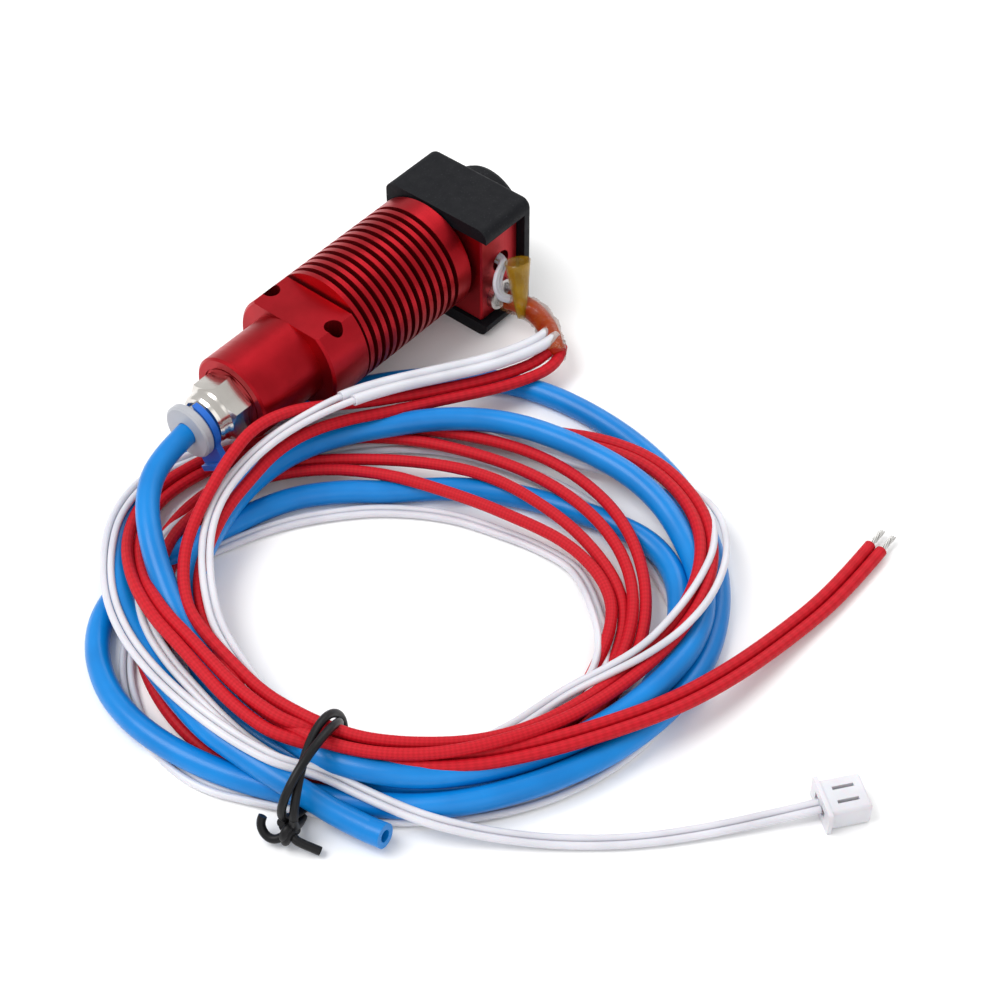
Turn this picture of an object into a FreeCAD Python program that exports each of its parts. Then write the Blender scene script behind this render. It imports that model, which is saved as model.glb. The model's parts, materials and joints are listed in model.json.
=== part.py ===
"""Hotend assembly for a desktop 3D printer: cold side, hot side, and its tied hank of tube and wires.

Millimetres. +X runs along the filament path towards the nozzle tip, +Z is up. The hotend lies on
its sock with its wires leaving on the -Y side. The origin is under the middle of the hotend, on the
surface that it lies on.
"""
import FreeCAD, Part
import math
import os

V = FreeCAD.Vector

# --- filament axis and the stations along it, in mm ------------------------------------------
AXIS_Y = 1.45
AXIS_Z = 13.5
FACE_X = 20.85              # nozzle-side face of the heat sink

# heat sink: end plate, fins, mounting collar, neck
SINK_R = 11.0
NECK_R = 8.0
CORE_R = 6.4
PLATE_LENGTH = 3.86
FIN_COUNT = 12
FIN_PITCH = 1.93
FIN_THICKNESS = 0.95
COLLAR_LENGTH = 8.6
SINK_LENGTH = 49.9
COLLAR_FLAT = 8.0           # half the distance across the collar's two flats
SCREW_HOLE_R = 1.6
SCREW_SPACING = 14.4
EDGE_BREAK = 0.4
HEAT_BREAK_REACH = 16.0     # of the heat break into the heat sink
HEAT_BREAK_WAIST_R = 2.5
NECK_GROOVE_R = (5.9, 6.2)  # bright ring turned into the neck's end face
NECK_GROOVE_DEPTH = 0.3
PAST = 1.0                  # how far a cutting shape runs past the face that it cuts

# tube, threads
TUBE_R = 2.0
TUBE_BORE_R = 1.0
TUBE_CLEARANCE_R = 2.1
THREAD_R = 3.0
THREAD_HOLE_R = 3.06
THREAD_DEPTH = 5.2          # of the coupling's thread in the neck

# coupling
HEX_FLATS = 10.0
HEX_LENGTH = 4.5
HEX_TURN = 6.0
NOSE_LENGTH = 2.5
NOSE_R = 4.6
COLLET_BORE_R = 3.35
COLLET_NECK_R = 3.25
COLLET_TRAVEL = 0.6
COLLET_SLEEVE_R = TUBE_R + 0.05
SEAL_R, SEAL_SECTION_R = 2.62, 0.5
RING_TEETH = 8
CLIP_THICKNESS = 1.15
CLIP_R = 5.1
CLIP_TAB_REACH = 8.0
CLIP_TAB_WIDTH = 6.0
CLIP_ANGLE = -125.0         # of the tab, about the filament axis, from +Y towards +Z
FLANGE_R = 4.95
FLANGE_THICKNESS = 1.75

# heater block and sock
BLOCK_GAP = 0.8
BLOCK_X, BLOCK_Y, BLOCK_Z = 10.0, 19.0, 19.0
BLOCK_Y_MIN = AXIS_Y - 12.3
BLOCK_Z_MIN = 2.7
CARTRIDGE_R = 3.0
CARTRIDGE_LENGTH = 17.0
CARTRIDGE_X, CARTRIDGE_Z = FACE_X + 5.4, 6.7
SENSOR_HOLE_R = 2.1
SENSOR_HOLE_DEPTH = 6.6
SENSOR_X, SENSOR_Z = FACE_X + 6.2, 13.6
GRUB_R = 1.5
GRUB_Y = AXIS_Y - 5.0
BEAD_R, BEAD_LENGTH = 1.1, 2.4
SENSOR_LEG_R, SENSOR_LEG_SPREAD = 0.4, 0.6
SLEEVED_LEG_D = 0.9
SOCK_WALL = 2.6
SOCK_SKIN = 0.1             # air left between the sock and the block
SOCK_PANEL = 2.05
SOCK_NEAR = 0.3             # the sock's open edge, from the heat sink's face
SOCK_ROUND, SOCK_END_ROUND = 2.0, 1.0   # of its long edges, and round its end panel
SOCK_OVERHANG = 1.6         # of the sock past the block on the wire side
BOSS_R, BOSS_LENGTH = 7.8, 5.2
NOZZLE_HEX = 7.0
NOZZLE_LENGTH = 13.15
NOZZLE_HEX_LENGTH = 3.0
NOZZLE_ORIFICE_R = 0.2
LINER_SEAT = 5.6            # end of the tube inside the hot side, from the heat sink's face

# cords
HEATER_WIRE_D = 2.0
SENSOR_WIRE_D = 1.2
SLEEVE_D = 1.9
TAPE_D = 4.6
HEATER_PAIR_GAP = 2.1
SENSOR_PAIR_GAP = 1.3
SLEEVE_PAIR_GAP = 2.05       # the sleeves are thicker than the wires in them
BARE_END_R, BARE_END_LENGTH = 0.5, 4.0
COIL_X, COIL_Y = -36.0, -44.5
COIL_INNER = (17.5, 17.0, 24.0, 32.0, 30.0, 32.0, 32.5, 27.0)
COIL_OUTER = (52.5, 52.0, 51.5, 52.3, 49.5, 45.5, 48.5, 52.0)
COIL_TOP_BACK = 4.4         # height where it passes under the neck and the collet
COIL_TOP_FRONT = 9.2
COIL_STEP_Y, COIL_SLOPE = -14.0, 30.0   # from here forwards the hank grows to its front height

# Routes of the stretches that lie outside the hank
TUBE_LEAD = [(-39.6, 1.45, 13.5), (-46.9, 0.9, 13.4), (-54.0, -1.9, 12.4), (-60.0, -7.2, 10.8),
             (-64.6, -14.2, 8.6), (-68.0, -22.4, 6.8), (-70.2, -31.0, 5.8), (-70.9, -36.8, 5.4)]
TUBE_END = [(-77.6, -45.0, 5.6), (-77.3, -52.5, 5.4), (-76.2, -59.6, 4.8), (-74.5, -66.0, 3.6),
            (-72.2, -72.0, 2.2)]
HEATER_A_LEAD = [(19.4, -27.6, 5.2), (9.4, -24.4, 6.0), (-1.0, -19.4, 7.5), (-11.0, -14.8, 9.6),
                 (-18.6, -11.0, 12.0), (-26.0, -8.9, 15.0), (-33.4, -8.4, 16.6), (-39.6, -9.2, 15.7),
                 (-45.2, -10.6, 13.6), (-50.6, -12.4, 11.6), (-55.8, -15.0, 10.2), (-60.6, -19.0, 9.0),
                 (-64.3, -24.4, 8.4)]
HEATER_B_LEAD = [(20.2, -30.2, 4.6), (9.8, -26.9, 5.2), (-0.4, -21.8, 6.6), (-10.2, -17.6, 8.4),
                 (-18.4, -14.0, 10.2), (-25.7, -12.0, 11.4), (-32.4, -11.4, 11.6),
                 (-38.6, -11.9, 10.6), (-44.5, -13.4, 9.3), (-50.2, -15.6, 8.0), (-55.7, -18.8, 7.0),
                 (-60.6, -23.4, 6.0), (-64.9, -29.2, 5.0)]
SENSOR_LEAD = [(20.4, -26.2, 7.7), (10.2, -23.2, 8.5), (0.0, -18.6, 10.1), (-9.2, -15.3, 12.2),
               (-17.6, -13.3, 14.0), (-25.4, -11.6, 14.2), (-32.4, -10.9, 14.2), (-38.4, -11.4, 13.2),
               (-44.1, -12.9, 11.8), (-49.4, -15.2, 10.3), (-54.3, -18.7, 9.2), (-58.8, -23.4, 7.8),
               (-62.4, -29.2, 6.2)]
HEATER_END = [(-67.4, -58.2, 6.6), (-63.2, -67.2, 6.6), (-56.9, -74.8, 6.6), (-48.5, -81.1, 6.6),
              (-39.0, -86.5, 6.4), (-28.1, -91.2, 5.4), (-16.0, -93.9, 3.8), (-2.8, -95.4, 2.2),
              (10.0, -96.3, 1.4), (22.0, -95.6, 1.4)]
SENSOR_END = [(-72.4, -58.2, 5.4), (-70.2, -66.3, 4.2), (-67.2, -74.4, 2.6), (-62.6, -82.8, 1.2),
              (-57.0, -91.8, 0.9), (-49.4, -100.6, 0.9), (-41.2, -107.6, 1.0), (-34.0, -113.2, 1.5),
              (-27.6, -118.2, 2.2)]
TAPE_ROUTE = [(25.9, -13.0, 6.4), (26.7, -17.2, 6.7), (25.9, -21.6, 6.6), (23.8, -25.4, 6.3),
              (20.6, -28.4, 5.8)]
TAPE_FLAG_FOOT, TAPE_FLAG_LEAN = (24.8, -17.5, 7.4), (2.7, 3.1, 8.1)
TAPE_FLAG_R, TAPE_FLAG_HEIGHT, TAPE_FLAG_WALL = (1.1, 2.4), 8.8, 0.15
SLEEVE_POINTS = 5           # the sleeves cover the sensor wires up to this point of their route

# tie and connector
TIE_X, TIE_Y, TIE_TURN = -73.3, -57.4, 18.0
TIE_HALF_WIDTH, TIE_HALF_HEIGHT, TIE_DEPTH, TIE_WALL = 9.2, 5.2, 2.2, 0.9
PLUG_LENGTH, PLUG_WIDTH, PLUG_HEIGHT = 7.2, 7.2, 4.2
PLUG_TURN = -36.7
PLUG_PITCH = 2.54
PLUG_RIM_LENGTH, PLUG_RIM = 0.7, 0.3
PLUG_ROUND = 0.6
CONTACT_Z = (1.5, 2.9)


def x_cylinder(radius, x0, x1, y=AXIS_Y, z=AXIS_Z):
    """A round bar along X."""
    return Part.makeCylinder(radius, x1 - x0, V(x0, y, z), V(1, 0, 0))


def y_cylinder(radius, y0, length, x, z):
    """A round bar along Y."""
    return Part.makeCylinder(radius, length, V(x, y0, z), V(0, 1, 0))


def x_profile(points):
    """Turns (x, radius) points about the filament axis."""
    corners = [V(x, AXIS_Y + r, AXIS_Z) for x, r in points]
    face = Part.Face(Part.makePolygon(corners + corners[:1]))
    return face.revolve(V(0, AXIS_Y, AXIS_Z), V(1, 0, 0), 360)


def hexagon(flats, x0, x1, turn=0.0):
    """A hexagonal bar along the filament axis."""
    corner_r = flats / math.sqrt(3)
    ring = []
    for k in range(7):
        a = math.radians(30 + 60 * k + turn)
        ring.append(V(x0, AXIS_Y + corner_r * math.cos(a), AXIS_Z + corner_r * math.sin(a)))
    return Part.Face(Part.makePolygon(ring)).extrude(V(x1 - x0, 0, 0))


def box(x, y, z):
    """A box from three (low, high) pairs."""
    return Part.makeBox(x[1] - x[0], y[1] - y[0], z[1] - z[0], V(x[0], y[0], z[0]))


def about_axis(shape, degrees):
    turned = shape.copy()
    turned.rotate(V(0, AXIS_Y, AXIS_Z), V(1, 0, 0), degrees)
    return turned


# --- cold side --------------------------------------------------------------------------------
NECK_END = FACE_X - SINK_LENGTH
FINS_END = FACE_X - PLATE_LENGTH - FIN_COUNT * FIN_PITCH - (FIN_PITCH - FIN_THICKNESS) / 2
COLLAR_END = FINS_END - COLLAR_LENGTH


def heat_sink():
    """Finned cylinder with an end plate, a flatted mounting collar and a round neck."""
    b = EDGE_BREAK
    core = x_profile([(NECK_END, 0), (NECK_END, NECK_R - b), (NECK_END + b, NECK_R),
                      (COLLAR_END, NECK_R), (COLLAR_END, SINK_R - b), (COLLAR_END + b, SINK_R),
                      (FINS_END, SINK_R), (FINS_END, CORE_R), (FACE_X - PLATE_LENGTH, CORE_R),
                      (FACE_X - PLATE_LENGTH, SINK_R), (FACE_X - b, SINK_R), (FACE_X, SINK_R - b),
                      (FACE_X, 0)])
    fins = []
    first = FACE_X - PLATE_LENGTH - (FIN_PITCH - FIN_THICKNESS) / 2 - FIN_THICKNESS
    for k in range(FIN_COUNT):
        x = first - k * FIN_PITCH - (FIN_PITCH - FIN_THICKNESS) / 2
        fins.append(x_cylinder(SINK_R, x, x + FIN_THICKNESS))
    body = core.multiFuse(fins)
    for side in (1, -1):
        low = AXIS_Z + side * COLLAR_FLAT
        z = (low, low + SINK_R) if side > 0 else (low - SINK_R, low)
        y = (AXIS_Y - SINK_R - PAST, AXIS_Y + SINK_R + PAST)
        body = body.cut(box((COLLAR_END - 0.01, FINS_END), y, z))
    hole_x = (COLLAR_END + FINS_END) / 2
    for side in (1, -1):
        hole = Part.makeCylinder(SCREW_HOLE_R, 2 * AXIS_Z, V(hole_x, AXIS_Y + side * SCREW_SPACING / 2, 0))
        body = body.cut(hole)
    body = body.cut(x_cylinder(THREAD_HOLE_R, NECK_END - PAST, NECK_END + THREAD_DEPTH + 0.4))
    body = body.cut(x_cylinder(TUBE_CLEARANCE_R, NECK_END, FACE_X))
    body = body.cut(x_cylinder(THREAD_HOLE_R, FACE_X - HEAT_BREAK_REACH - 0.4, FACE_X + PAST))
    inner, outer = NECK_GROOVE_R
    groove = x_cylinder(outer, NECK_END - PAST, NECK_END + NECK_GROOVE_DEPTH)
    return body.cut(groove.cut(x_cylinder(inner, NECK_END - 2 * PAST, NECK_END + PAST)))


def heat_break():
    """Threaded steel tube with a thin waist, joining the heat sink and the block."""
    start = FACE_X - HEAT_BREAK_REACH
    return x_profile([(start, TUBE_CLEARANCE_R), (start, THREAD_R), (FACE_X - 0.9, THREAD_R),
                      (FACE_X - 0.6, HEAT_BREAK_WAIST_R), (FACE_X + 0.9, HEAT_BREAK_WAIST_R),
                      (FACE_X + 1.2, THREAD_R), (FACE_X + LINER_SEAT, THREAD_R),
                      (FACE_X + LINER_SEAT, TUBE_CLEARANCE_R)])


def tube_in_hotend():
    """The straight end of the tube, from the nozzle's seat to the collet's outer face."""
    outer = x_cylinder(TUBE_R, FLANGE_END, FACE_X + LINER_SEAT)
    return outer.cut(x_cylinder(TUBE_BORE_R, FLANGE_END - PAST, FACE_X + LINER_SEAT + PAST))


# --- coupling -----------------------------------------------------------------------------------
HEX_END = NECK_END - HEX_LENGTH
NOSE_END = HEX_END - NOSE_LENGTH
CLIP_START = NOSE_END - COLLET_TRAVEL - 0.05
FLANGE_START = CLIP_START - CLIP_THICKNESS
FLANGE_END = FLANGE_START - FLANGE_THICKNESS
RING_X = HEX_END + 0.6
SEAL_X = NECK_END - 1.2


def coupling_body():
    """Hexagonal push-fit body with a threaded stem and a rounded nose."""
    corner_r = HEX_FLATS / math.sqrt(3)
    rounding = x_profile([(HEX_END, 0), (HEX_END, HEX_FLATS / 2 - 0.1),
                          (HEX_END + 0.7, corner_r + 0.05), (NECK_END - 0.3, corner_r + 0.05),
                          (NECK_END, HEX_FLATS / 2), (NECK_END, 0)])
    head = hexagon(HEX_FLATS, HEX_END, NECK_END, HEX_TURN).common(rounding)
    nose = x_profile([(NOSE_END, 0), (NOSE_END, NOSE_R - 0.8), (NOSE_END + 0.25, NOSE_R - 0.3),
                      (NOSE_END + 0.8, NOSE_R), (HEX_END - 0.5, NOSE_R + 0.15),
                      (HEX_END, NOSE_R + 0.35), (HEX_END, 0)])
    stem = x_cylinder(THREAD_R, NECK_END, NECK_END + THREAD_DEPTH)
    body = head.multiFuse([nose, stem])
    body = body.cut(x_cylinder(TUBE_CLEARANCE_R, NOSE_END - PAST, NECK_END + THREAD_DEPTH + PAST))
    mouth = NOSE_END - PAST
    socket = x_profile([(mouth, 0), (mouth, COLLET_BORE_R), (RING_X, COLLET_BORE_R),
                        (RING_X, 3.9), (RING_X + 0.7, 3.9), (RING_X + 0.7, 3.2), (SEAL_X + 0.6, 3.2),
                        (SEAL_X + 0.6, 0)])
    return body.cut(socket)


def coupling_seal():
    """O-ring round the tube, behind the gripping ring."""
    return Part.makeTorus(SEAL_R, SEAL_SECTION_R, V(SEAL_X, AXIS_Y, AXIS_Z), V(1, 0, 0))


def gripping_ring():
    """Sprung steel ring whose teeth lean inwards on the tube."""
    ring = x_profile([(RING_X + 0.1, 3.8), (RING_X + 0.1, 3.3), (RING_X + 0.55, 2.15),
                      (RING_X + 0.65, 2.3), (RING_X + 0.3, 3.4), (RING_X + 0.3, 3.8)])
    slot = box((RING_X, RING_X + PAST), (AXIS_Y + 1.8, AXIS_Y + 3.1), (AXIS_Z - 0.15, AXIS_Z + 0.15))
    for k in range(RING_TEETH):
        ring = ring.cut(about_axis(slot, 360 / RING_TEETH * k))
    return ring


def collet():
    """Push button of the coupling: a flange outside, a split sleeve inside."""
    b = 0.35
    inner_end = RING_X - COLLET_TRAVEL - 0.1
    body = x_profile([(FLANGE_END, COLLET_SLEEVE_R), (FLANGE_END, FLANGE_R - b),
                      (FLANGE_END + b, FLANGE_R), (FLANGE_START - b, FLANGE_R),
                      (FLANGE_START, FLANGE_R - b), (FLANGE_START, COLLET_NECK_R),
                      (inner_end, COLLET_NECK_R), (inner_end, COLLET_SLEEVE_R)])
    slot = box((NOSE_END + 0.4, inner_end + PAST), (AXIS_Y - FLANGE_R, AXIS_Y + FLANGE_R),
               (AXIS_Z - 0.3, AXIS_Z + 0.3))
    for turn in (45, 135):
        body = body.cut(about_axis(slot, turn))
    return body


def retaining_clip():
    """Horseshoe clip on the collet's neck, with a finger tab on its closed side."""
    x = (CLIP_START - CLIP_THICKNESS + 0.03, CLIP_START)
    width = (AXIS_Z - CLIP_TAB_WIDTH / 2, AXIS_Z + CLIP_TAB_WIDTH / 2)
    tip = AXIS_Y + CLIP_TAB_REACH
    tab = box(x, (AXIS_Y, tip), width)
    lip = box((x[0] - 0.9, x[1] + 0.35), (tip - 1.0, tip), width)
    clip = x_cylinder(CLIP_R, *x).multiFuse([tab, lip])
    past_faces = (x[0] - PAST, x[1] + PAST)
    clip = clip.cut(x_cylinder(COLLET_NECK_R + 0.06, *past_faces))
    mouth = COLLET_NECK_R - 0.25
    clip = clip.cut(box(past_faces, (AXIS_Y - CLIP_R - PAST, AXIS_Y), (AXIS_Z - mouth, AXIS_Z + mouth)))
    return about_axis(clip, CLIP_ANGLE)


# --- hot side -----------------------------------------------------------------------------------
BLOCK_START = FACE_X + BLOCK_GAP
BLOCK_END = BLOCK_START + BLOCK_X
BLOCK_Y_MAX = BLOCK_Y_MIN + BLOCK_Y
BLOCK_Z_MAX = BLOCK_Z_MIN + BLOCK_Z


def heater_block():
    """Aluminium block with a threaded bore, a cartridge bore, a sensor hole and a grub screw hole."""
    body = box((BLOCK_START, BLOCK_END), (BLOCK_Y_MIN, BLOCK_Y_MAX), (BLOCK_Z_MIN, BLOCK_Z_MAX))
    body = body.makeChamfer(0.3, body.Edges)
    body = body.cut(x_cylinder(THREAD_HOLE_R, BLOCK_START - PAST, BLOCK_END + PAST))
    y = BLOCK_Y_MIN - PAST
    cartridge = y_cylinder(CARTRIDGE_R + 0.06, y, CARTRIDGE_LENGTH, CARTRIDGE_X, CARTRIDGE_Z)
    sensor = y_cylinder(SENSOR_HOLE_R, y, SENSOR_HOLE_DEPTH + PAST, SENSOR_X, SENSOR_Z)
    grub = x_cylinder(GRUB_R + 0.06, BLOCK_START - PAST, CARTRIDGE_X, GRUB_Y, CARTRIDGE_Z)
    return body.cut(cartridge).cut(sensor).cut(grub)


def heater_cartridge():
    """Ceramic heater in a steel can, crimped at the wire end."""
    y = BLOCK_Y_MIN - 1.0
    can = y_cylinder(CARTRIDGE_R, y, CARTRIDGE_LENGTH - 0.2, CARTRIDGE_X, CARTRIDGE_Z)
    return can.cut(y_cylinder(CARTRIDGE_R - 0.6, y, 0.8, CARTRIDGE_X, CARTRIDGE_Z))


def heater_grub_screw():
    """Set screw that holds the cartridge in the block."""
    x0 = BLOCK_START + 0.1
    x1 = CARTRIDGE_X - math.sqrt(CARTRIDGE_R ** 2 - GRUB_R ** 2) - 0.7
    screw = x_cylinder(GRUB_R, x0, x1, GRUB_Y, CARTRIDGE_Z)
    return screw.cut(x_cylinder(GRUB_R / 2, x0 - PAST, x0 + 0.6, GRUB_Y, CARTRIDGE_Z))


def temperature_sensor():
    """Glass bead and its two legs in the sensor hole."""
    bead_y = BLOCK_Y_MIN + SENSOR_HOLE_DEPTH - 0.3 - BEAD_LENGTH
    bead = y_cylinder(BEAD_R, bead_y, BEAD_LENGTH, SENSOR_X, SENSOR_Z)
    bead = bead.makeChamfer(0.35, bead.Edges)
    leg_length = bead_y - BLOCK_Y_MIN + 1.0
    legs = []
    for side in (-SENSOR_LEG_SPREAD, SENSOR_LEG_SPREAD):
        legs.append(y_cylinder(SENSOR_LEG_R, BLOCK_Y_MIN - 0.6, leg_length, SENSOR_X + side, SENSOR_Z))
    return bead.multiFuse(legs)


def nozzle():
    """Brass nozzle: thread, hexagon, cone and tip."""
    x0 = FACE_X + LINER_SEAT
    tip = x0 + NOZZLE_LENGTH
    hex_start = BLOCK_END + 0.1
    hex_end = hex_start + NOZZLE_HEX_LENGTH
    outer = x_profile([(x0, 0), (x0, THREAD_R), (hex_start, THREAD_R), (hex_start, 4.0),
                       (hex_end - 0.4, 4.0), (hex_end, 3.5), (hex_end, 2.9), (tip, 0.6), (tip, 0)])
    limit = hexagon(NOZZLE_HEX, hex_start, hex_end).fuse(x_cylinder(THREAD_R, x0, tip))
    body = outer.common(limit)
    body = body.cut(x_cylinder(TUBE_BORE_R, x0 - PAST, tip - 2.0))
    return body.cut(x_cylinder(NOZZLE_ORIFICE_R, tip - 2.5, tip + PAST))


def silicone_sock():
    """Insulating sock: three walls and an end panel with a boss round the nozzle."""
    near = FACE_X + SOCK_NEAR
    far = BLOCK_END + SOCK_SKIN + SOCK_PANEL
    y = (BLOCK_Y_MIN - SOCK_OVERHANG, BLOCK_Y_MAX + SOCK_SKIN + SOCK_WALL)
    z = (BLOCK_Z_MIN - SOCK_SKIN - SOCK_WALL, BLOCK_Z_MAX + SOCK_SKIN + SOCK_WALL)
    body = box((near, far), y, z)
    body = body.makeFillet(SOCK_ROUND, [e for e in body.Edges if e.BoundBox.XLength > far - near - PAST])
    body = body.makeFillet(SOCK_END_ROUND, [e for e in body.Edges if e.BoundBox.XMin > far - 0.01])
    cavity = box((near - PAST, BLOCK_END + SOCK_SKIN), (y[0] - PAST, BLOCK_Y_MAX + SOCK_SKIN),
                 (BLOCK_Z_MIN - SOCK_SKIN, BLOCK_Z_MAX + SOCK_SKIN))
    body = body.cut(cavity)
    boss = x_profile([(far - 0.5, 0), (far - 0.5, BOSS_R), (far + BOSS_LENGTH - 1.1, BOSS_R - 0.05),
                      (far + BOSS_LENGTH - 0.4, BOSS_R - 0.4), (far + BOSS_LENGTH, BOSS_R - 1.1),
                      (far + BOSS_LENGTH, 0)])
    seat = x_profile([(BLOCK_END - PAST, 0), (BLOCK_END - PAST, 4.3), (BLOCK_END + 3.6, 4.3),
                      (far + BOSS_LENGTH - 1.0, 2.6), (far + BOSS_LENGTH + PAST, 2.6),
                      (far + BOSS_LENGTH + PAST, 0)])
    return body.fuse(boss).cut(seat)


# --- cords ----------------------------------------------------------------------------------------
def beside(route, side, gap, sleeved=0):
    """One cord of a pair that lies a gap apart: side 1 is left of the pair's middle line, -1 right.

    The first points, as many as sleeved says, are as far apart as the sleeves are.
    """
    moved = []
    for k, (x, y, z) in enumerate(route):
        before, after = route[max(k - 1, 0)], route[min(k + 1, len(route) - 1)]
        dx, dy = after[0] - before[0], after[1] - before[1]
        reach = side * (SLEEVE_PAIR_GAP if k < sleeved else gap) / 2 / math.hypot(dx, dy)
        moved.append((x - dy * reach, y + dx * reach, z))
    return moved


def cord(name, route, diameter):
    """A tube along straight runs joined by arcs as large as their runs allow."""
    points = [V(*p) for p in route]
    edges = []
    start = points[0]
    radii = []
    for a, b, c in zip(points, points[1:], points[2:]):
        into, out = (b - a), (c - b)
        shorter = min(into.Length, out.Length)
        into.normalize()
        out.normalize()
        half = into.getAngle(out) / 2
        setback = 0.45 * shorter
        radii.append(setback / math.tan(half))
        first, last = b - into * setback, b + out * setback
        middle_of_chord = (first + last) / 2
        corner_side = (b - middle_of_chord).normalize()
        sagitta = radii[-1] * (1 - math.cos(half))
        edges.append(Part.LineSegment(start, first).toShape())
        edges.append(Part.Arc(first, middle_of_chord + corner_side * sagitta, last).toShape())
        start = last
    edges.append(Part.LineSegment(start, points[-1]).toShape())
    path = Part.Wire(edges)
    ring = Part.Wire(Part.makeCircle(diameter / 2, points[0], points[1] - points[0]))
    tube = path.makePipeShell([ring], True, False)
    expected = math.pi * diameter ** 2 / 4 * path.Length
    print(f"{name}: length {path.Length:.1f}, least radius {min(radii) / diameter:.1f} diameters, "
          f"volume {tube.Volume / expected:.3f} of section times length")
    return tube


def closed_curve(radii, z):
    """A smooth loop round the hank's middle, from its radius at every 45 degrees."""
    points = []
    for k, r in enumerate(radii):
        a = math.radians(45 * k)
        points.append(V(COIL_X + r * math.cos(a), COIL_Y + r * math.sin(a), z))
    loop = Part.BSplineCurve()
    loop.interpolate(Points=points, PeriodicFlag=True)
    return Part.Wire(loop.toShape())


def cord_hank():
    """Outer shape of the tied hank, lower where it passes under the neck."""
    outer = Part.Face(closed_curve(COIL_OUTER, 0)).extrude(V(0, 0, COIL_TOP_FRONT))
    inner = Part.Face(closed_curve(COIL_INNER, 0)).extrude(V(0, 0, COIL_TOP_FRONT))
    ring = outer.cut(inner)
    reach = max(COIL_OUTER) + PAST
    left, right, back = COIL_X - reach, COIL_X + reach, COIL_Y + reach
    above = box((left, right), (COIL_STEP_Y, back), (COIL_TOP_BACK, 2 * COIL_TOP_FRONT))
    slope = Part.Face(Part.makePolygon([V(left, COIL_STEP_Y, COIL_TOP_BACK),
                                        V(left, COIL_STEP_Y - COIL_SLOPE, COIL_TOP_FRONT),
                                        V(left, COIL_STEP_Y, 2 * COIL_TOP_FRONT),
                                        V(left, COIL_STEP_Y, COIL_TOP_BACK)]))
    ring = ring.cut(above).cut(slope.extrude(V(right - left, 0, 0)))
    return ring.cut(x_cylinder(SINK_R + 0.5, FINS_END - 0.4, FACE_X))


def oval(half_width, half_height, depth):
    """An elliptical bar along Y, standing on z = 0."""
    edge = Part.Ellipse(V(0, 0, 0), half_width, half_height).toShape()
    bar = Part.Face(Part.Wire(edge)).extrude(V(0, 0, depth))
    bar.rotate(V(0, 0, 0), V(1, 0, 0), 90)
    bar.translate(V(0, depth / 2, half_height))
    return bar


def cable_tie():
    """Black tie round the hank, with its twist and two tails on the outer side."""
    inner = oval(TIE_HALF_WIDTH - TIE_WALL, TIE_HALF_HEIGHT - TIE_WALL, TIE_DEPTH + 2 * PAST)
    inner.translate(V(0, 0, TIE_WALL))
    ring = oval(TIE_HALF_WIDTH, TIE_HALF_HEIGHT, TIE_DEPTH).cut(inner)
    out = -TIE_HALF_WIDTH
    knot = box((out - 1.2, out + 0.6), (-1.2, 1.2), (1.0, 4.0))
    tails = [box((out - 1.4, out - 0.4), (-5.6, -1.0), (0.2, 1.8)),
             box((out - 1.4, out - 0.4), (1.0, 3.4), (2.4, 4.0))]
    tie = ring.multiFuse([knot] + tails)
    tie.rotate(V(0, 0, 0), V(0, 0, 1), TIE_TURN)
    tie.translate(V(TIE_X, TIE_Y, 0))
    return tie


def plug_shape(shape):
    """Puts a shape made along +X from its wire end where the plug lies."""
    placed = shape.copy()
    placed.rotate(V(0, 0, 0), V(0, 0, 1), PLUG_TURN)
    placed.translate(V(*SENSOR_END[-1][:2], 0))
    return placed


def plug_housing():
    """Two-way crimp housing with a flared rim, two latch windows and two contact holes."""
    half = PLUG_WIDTH / 2
    body = box((0, PLUG_LENGTH), (PLUG_RIM - half, half - PLUG_RIM), (0.1, PLUG_HEIGHT))
    body = body.makeFillet(PLUG_ROUND, [e for e in body.Edges if e.BoundBox.XMax > 0.01])
    rim = box((0, PLUG_RIM_LENGTH), (-half - PLUG_RIM, half + PLUG_RIM), (0.0, PLUG_HEIGHT + PLUG_RIM))
    rim = rim.makeFillet(PLUG_RIM, [e for e in rim.Edges if e.BoundBox.XLength > 0.1])
    body = body.fuse(rim)
    for side in (-PLUG_PITCH / 2, PLUG_PITCH / 2):
        hole = box((-PAST, PLUG_LENGTH + PAST), (side - 0.8, side + 0.8),
                   (CONTACT_Z[0] - 0.1, CONTACT_Z[1] + 0.1))
        window = box((2.2, 5.6), (side - 0.3, side + 0.3), (CONTACT_Z[1], PLUG_HEIGHT + PAST))
        body = body.cut(hole).cut(window)
    return plug_shape(body)


def plug_contacts():
    """Two crimp contacts inside the housing, open at their mating end."""
    contacts = []
    for side in (-PLUG_PITCH / 2, PLUG_PITCH / 2):
        body = box((1.6, PLUG_LENGTH - 0.6), (side - 0.7, side + 0.7), CONTACT_Z)
        mouth = box((PLUG_LENGTH - 3.4, PLUG_LENGTH), (side - 0.45, side + 0.45),
                    (CONTACT_Z[0] + 0.25, CONTACT_Z[1] - 0.25))
        contacts.append(plug_shape(body.cut(mouth)))
    return Part.makeCompound(contacts)


def bare_ends():
    """Tinned strands at the free ends of the heater wires."""
    ends = []
    for side in (1, -1):
        route = beside(HEATER_END, side, HEATER_PAIR_GAP)
        last, before = V(*route[-1]), V(*route[-2])
        ends.append(Part.makeCylinder(BARE_END_R, BARE_END_LENGTH, last, last - before))
    return Part.makeCompound(ends)


def tape_flag():
    """Open cone of amber tape left standing on the wrap."""
    foot, lean = V(*TAPE_FLAG_FOOT), V(*TAPE_FLAG_LEAN)
    low, high = TAPE_FLAG_R
    outer = Part.makeCone(low, high, TAPE_FLAG_HEIGHT, foot, lean)
    inner = Part.makeCone(low - TAPE_FLAG_WALL, high - TAPE_FLAG_WALL, TAPE_FLAG_HEIGHT, foot, lean)
    return outer.cut(inner)


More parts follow.
